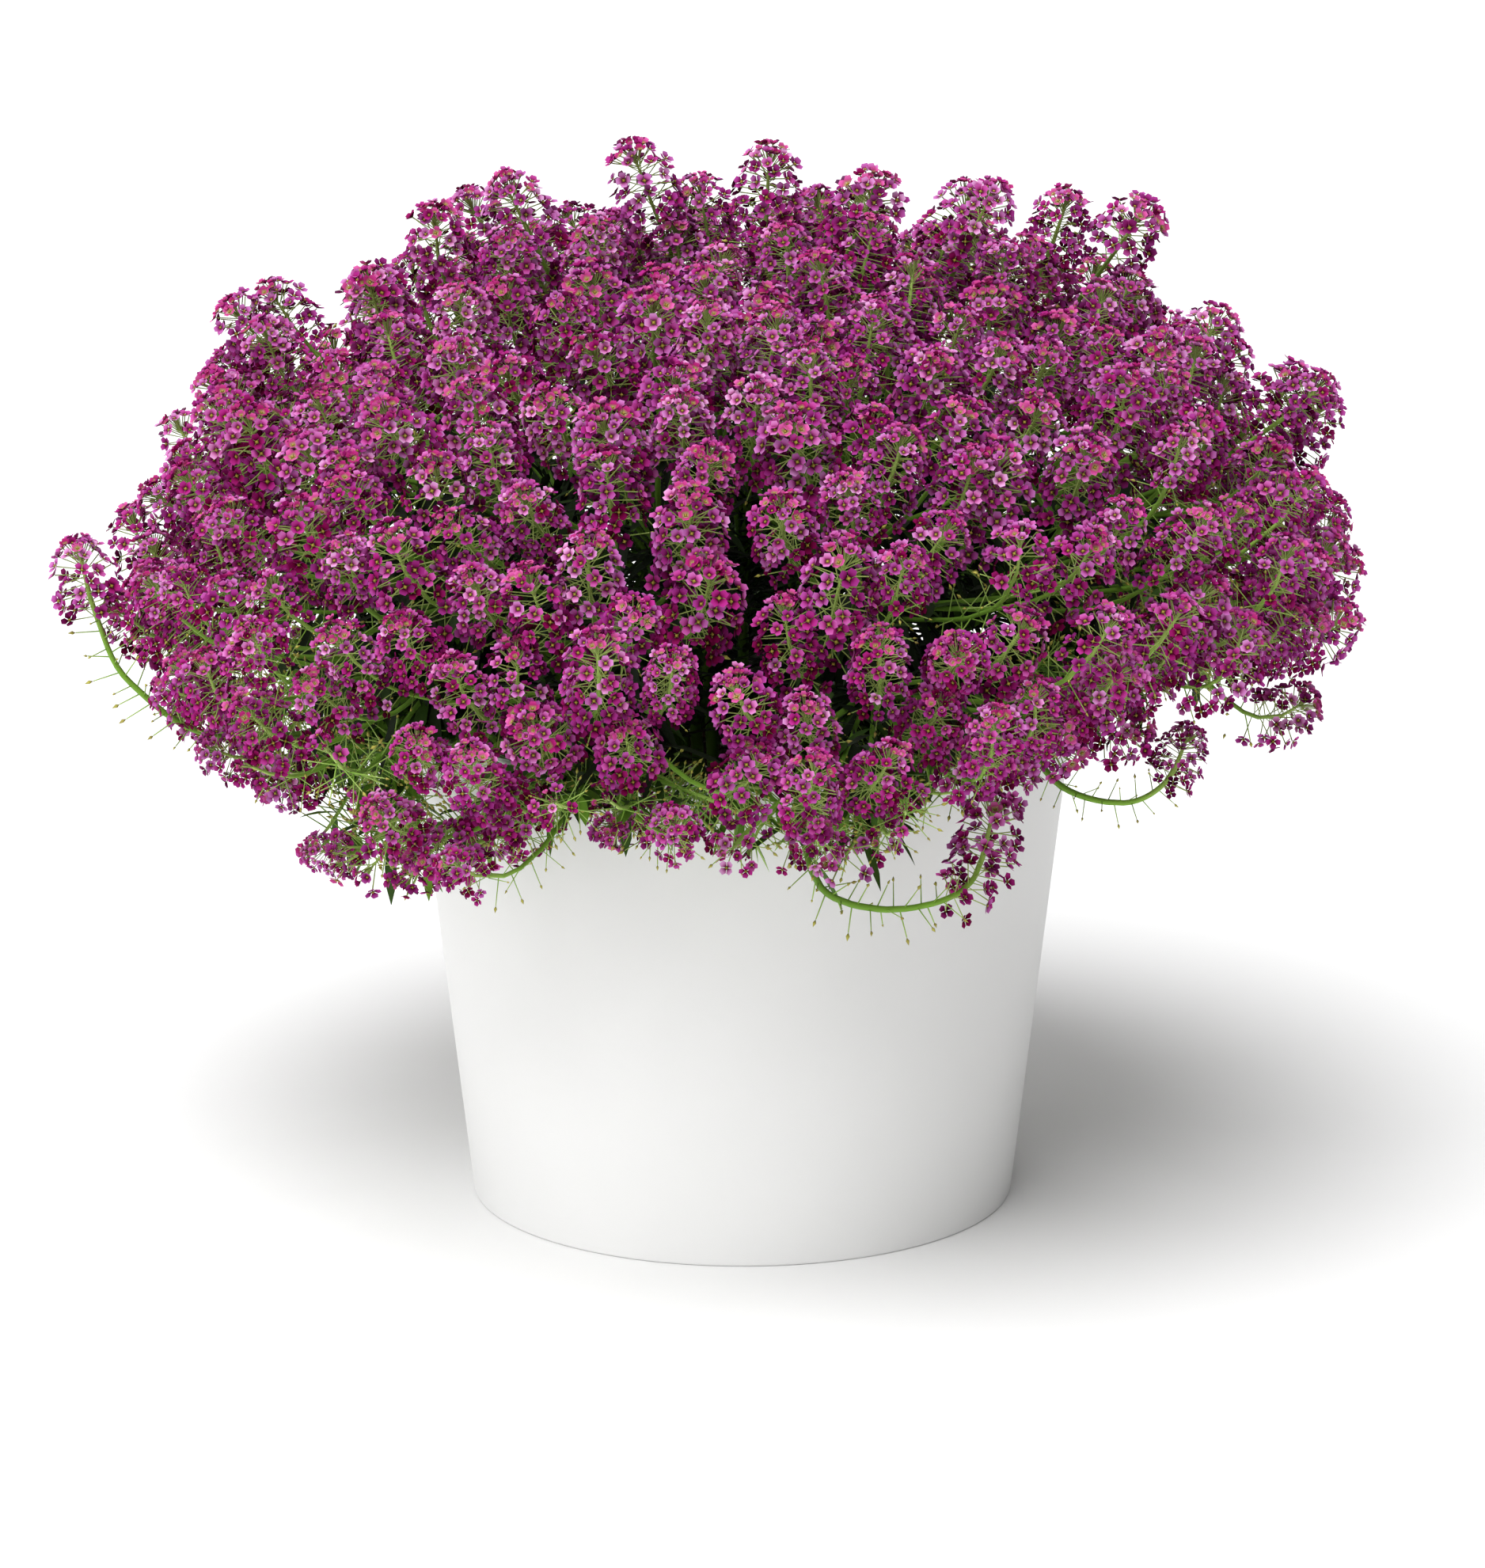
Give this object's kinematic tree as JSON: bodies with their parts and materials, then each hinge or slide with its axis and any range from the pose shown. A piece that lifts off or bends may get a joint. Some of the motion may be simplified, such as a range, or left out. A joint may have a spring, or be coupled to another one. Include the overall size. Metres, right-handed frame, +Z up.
{
  "type": "potted sweet alyssum",
  "caption": "Flowering bedding plant in a round tapered pot: a wide mound of branching stems that end in domed heads of small four-petalled florets, with trailing stems over the rim.",
  "frame": {"origin": "centre of the pot's flat base, on the surface it stands on", "axes": "+Z up along the pot's axis, -Y towards the front of the plant, +X to its right"},
  "size_m": [0.5009, 0.4744, 0.404],
  "materials": {
    "flowers": "soft matte petals, lilac to deep magenta, on green stems",
    "leaves": "matte narrow leaves with fine hairs",
    "pot": "smooth moulded white with a low sheen",
    "soil": "rough peat mix"
  },
  "bodies": {
    "root": {"crown_spray_01": "flowers", "top_spray_01": "flowers", "top_spray_02": "flowers", "top_spray_03": "flowers", "top_spray_04": "flowers", "top_spray_05": "flowers", "top_spray_06": "flowers", "shoulder_spray_01": "flowers", "shoulder_spray_02": "flowers", "shoulder_spray_03": "flowers", "shoulder_spray_04": "flowers", "shoulder_spray_05": "flowers", "shoulder_spray_06": "flowers", "shoulder_spray_07": "flowers", "shoulder_spray_08": "flowers", "flank_spray_01": "flowers", "flank_spray_02": "flowers", "flank_spray_03": "flowers", "flank_spray_04": "flowers", "flank_spray_05": "flowers", "flank_spray_06": "flowers", "flank_spray_07": "flowers", "flank_spray_08": "flowers", "flank_spray_09": "flowers", "side_spray_01": "flowers", "side_spray_02": "flowers", "side_spray_03": "flowers", "side_spray_04": "flowers", "side_spray_05": "flowers", "side_spray_06": "flowers", "side_spray_07": "flowers", "side_spray_08": "flowers", "side_spray_09": "flowers", "skirt_spray_01": "flowers", "skirt_spray_02": "flowers", "skirt_spray_03": "flowers", "skirt_spray_04": "flowers", "skirt_spray_05": "flowers", "skirt_spray_06": "flowers", "skirt_spray_07": "flowers", "skirt_spray_08": "flowers", "skirt_spray_09": "flowers", "trailing_front_loop": "flowers", "trailing_right_loop": "flowers", "trailing_left_tip": "flowers", "trailing_left_low": "flowers", "trailing_back_loop": "flowers", "leafy_shoot_01": "leaves", "leafy_shoot_02": "leaves", "leafy_shoot_03": "leaves", "leafy_shoot_04": "leaves", "leafy_shoot_05": "leaves", "leafy_shoot_06": "leaves", "leafy_shoot_07": "leaves", "leafy_shoot_08": "leaves", "leafy_shoot_09": "leaves", "pot": "pot", "soil": "soil"}
  },
  "joints": []
}
